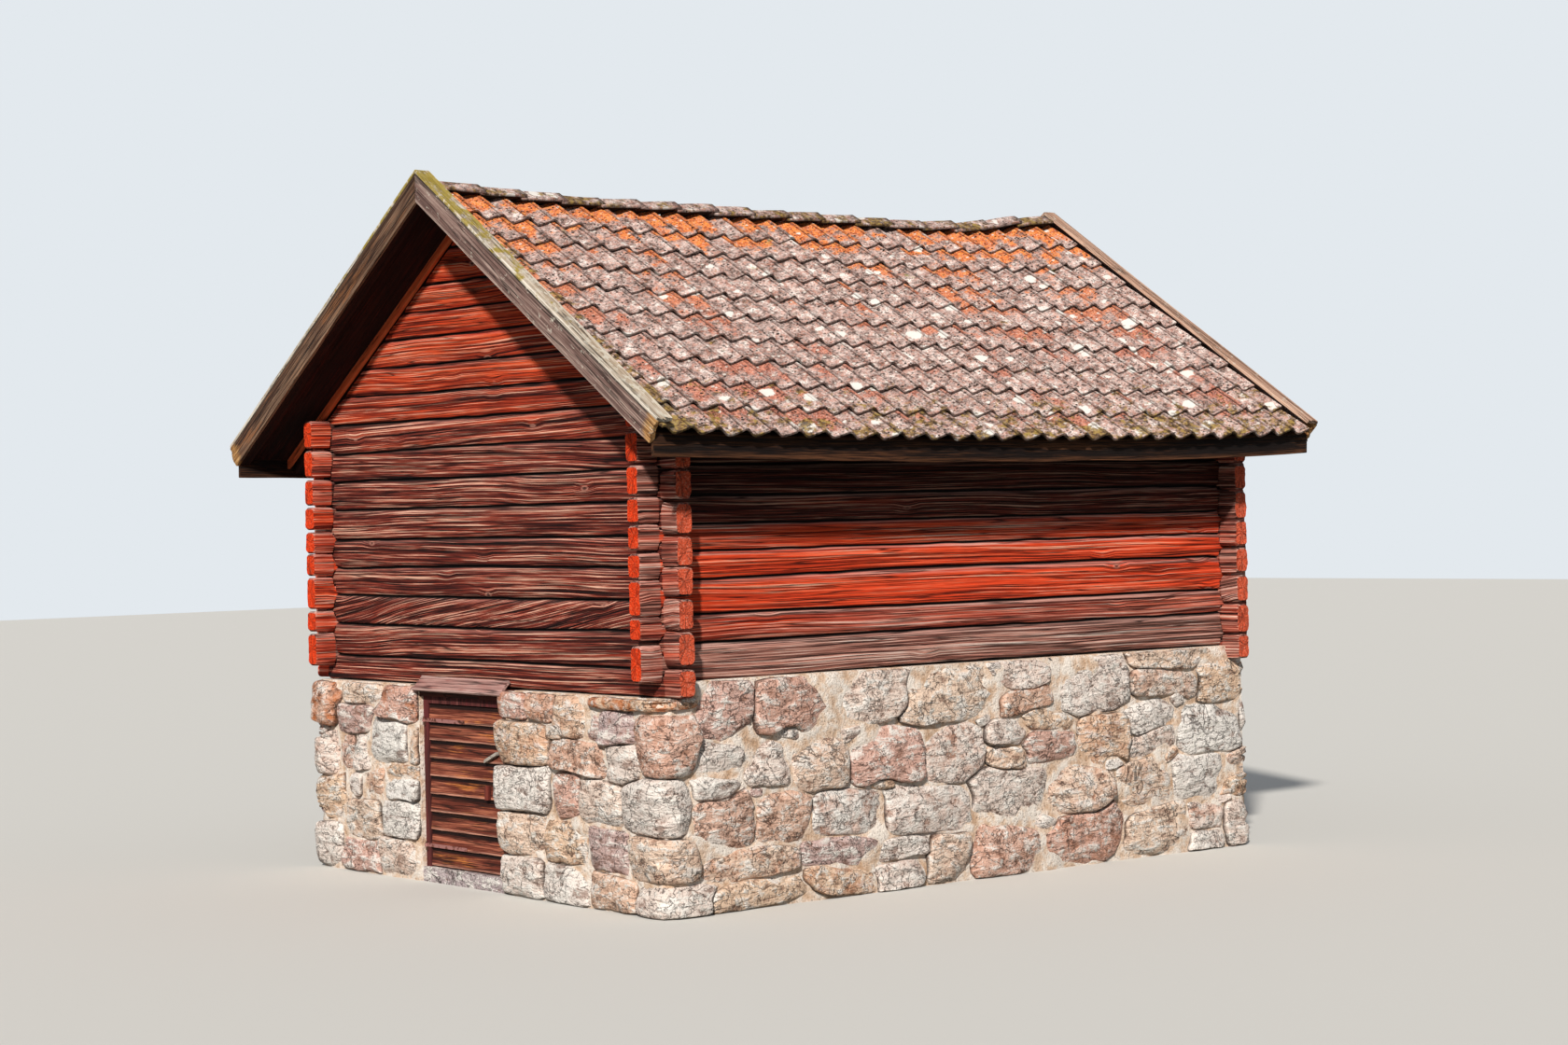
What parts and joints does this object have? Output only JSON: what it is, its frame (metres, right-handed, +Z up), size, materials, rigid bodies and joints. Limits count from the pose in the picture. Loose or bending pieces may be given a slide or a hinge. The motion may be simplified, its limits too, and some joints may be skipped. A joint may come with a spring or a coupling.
{
  "type": "log storehouse over a fieldstone cellar",
  "caption": "Small red log storehouse with notched corners and a pantiled gable roof, standing on a fieldstone cellar that has a low plank door in the gable.",
  "frame": {"origin": "middle of the building's outer box, at the foot of the cellar walls", "axes": "+Y runs along the ridge from the gable with the cellar door to the other gable, +X to the long wall on the right as seen from that door, +Z up"},
  "size_m": [5.3, 5.874, 4.7958],
  "materials": {
    "fieldstone": "rough granite fieldstones bedded in pale lime mortar",
    "threshold": "worn rough stone",
    "sunny_logs": "hewn logs in red ochre distemper, cracked along the grain",
    "shaded_logs": "hewn logs in worn red ochre distemper, dark grain showing",
    "door_timber": "dark weathered boards with traces of red",
    "frame_paint": "worn dull red paint on wood",
    "drip_timber": "bare weathered grey-brown board",
    "inner_timber": "unpainted aged timber",
    "soffit_paint": "dark red-brown boards",
    "red_lath": "red ochre distemper",
    "eave_timber": "weathered brown board",
    "grey_barge": "bare weathered grey-brown board, split at the ends",
    "grey_cap": "bare grey board with lichen and moss",
    "clay_tile": "old clay pantile with lichen and moss",
    "ridge_clay": "old ridge tile, grey with lichen",
    "old_iron": "rusted wrought iron with old paint",
    "pale_wood": "split wood, weathered pale grey"
  },
  "bodies": {
    "building": {"foundation_front_left": "fieldstone", "foundation_front_right": "fieldstone", "foundation_back": "fieldstone", "foundation_left": "fieldstone", "foundation_right": "fieldstone", "door_lintel": "door_timber", "threshold_stone": "threshold", "door_frame": "frame_paint", "door_hinge_pins": "old_iron", "drip_board": "drip_timber", "floor_joists": "inner_timber", "floor_boards": "inner_timber", "front_wall_logs": "shaded_logs", "back_wall_logs": "shaded_logs", "left_wall_logs": "sunny_logs", "right_wall_logs": "sunny_logs", "front_gable_logs": "shaded_logs", "back_gable_logs": "shaded_logs", "inner_rafters": "inner_timber", "front_rafters": "soffit_paint", "back_rafters": "soffit_paint", "front_trim": "red_lath", "back_trim": "red_lath", "front_verge_laths": "soffit_paint", "back_verge_laths": "soffit_paint", "roof_boards_left": "soffit_paint", "roof_boards_right": "soffit_paint", "eave_board_left": "eave_timber", "eave_board_right": "eave_timber", "front_bargeboards": "grey_barge", "back_bargeboards": "grey_barge", "front_barge_caps": "grey_cap", "back_barge_caps": "grey_cap", "tiles_left": "clay_tile", "tiles_right": "clay_tile", "ridge_tiles": "ridge_clay"},
    "cellar_door": {"door_boards": "door_timber", "door_ledges": "door_timber", "door_straps": "old_iron", "door_button": "frame_paint", "door_wedge": "pale_wood"}
  },
  "joints": [
    {"name": "cellar_door_hinge", "type": "hinge", "parent": "building", "child": "cellar_door", "pos_m": [-0.7177, -2.5145, 0.66], "axis": [0, 0, -1], "range_deg": [0, 95]}
  ]
}
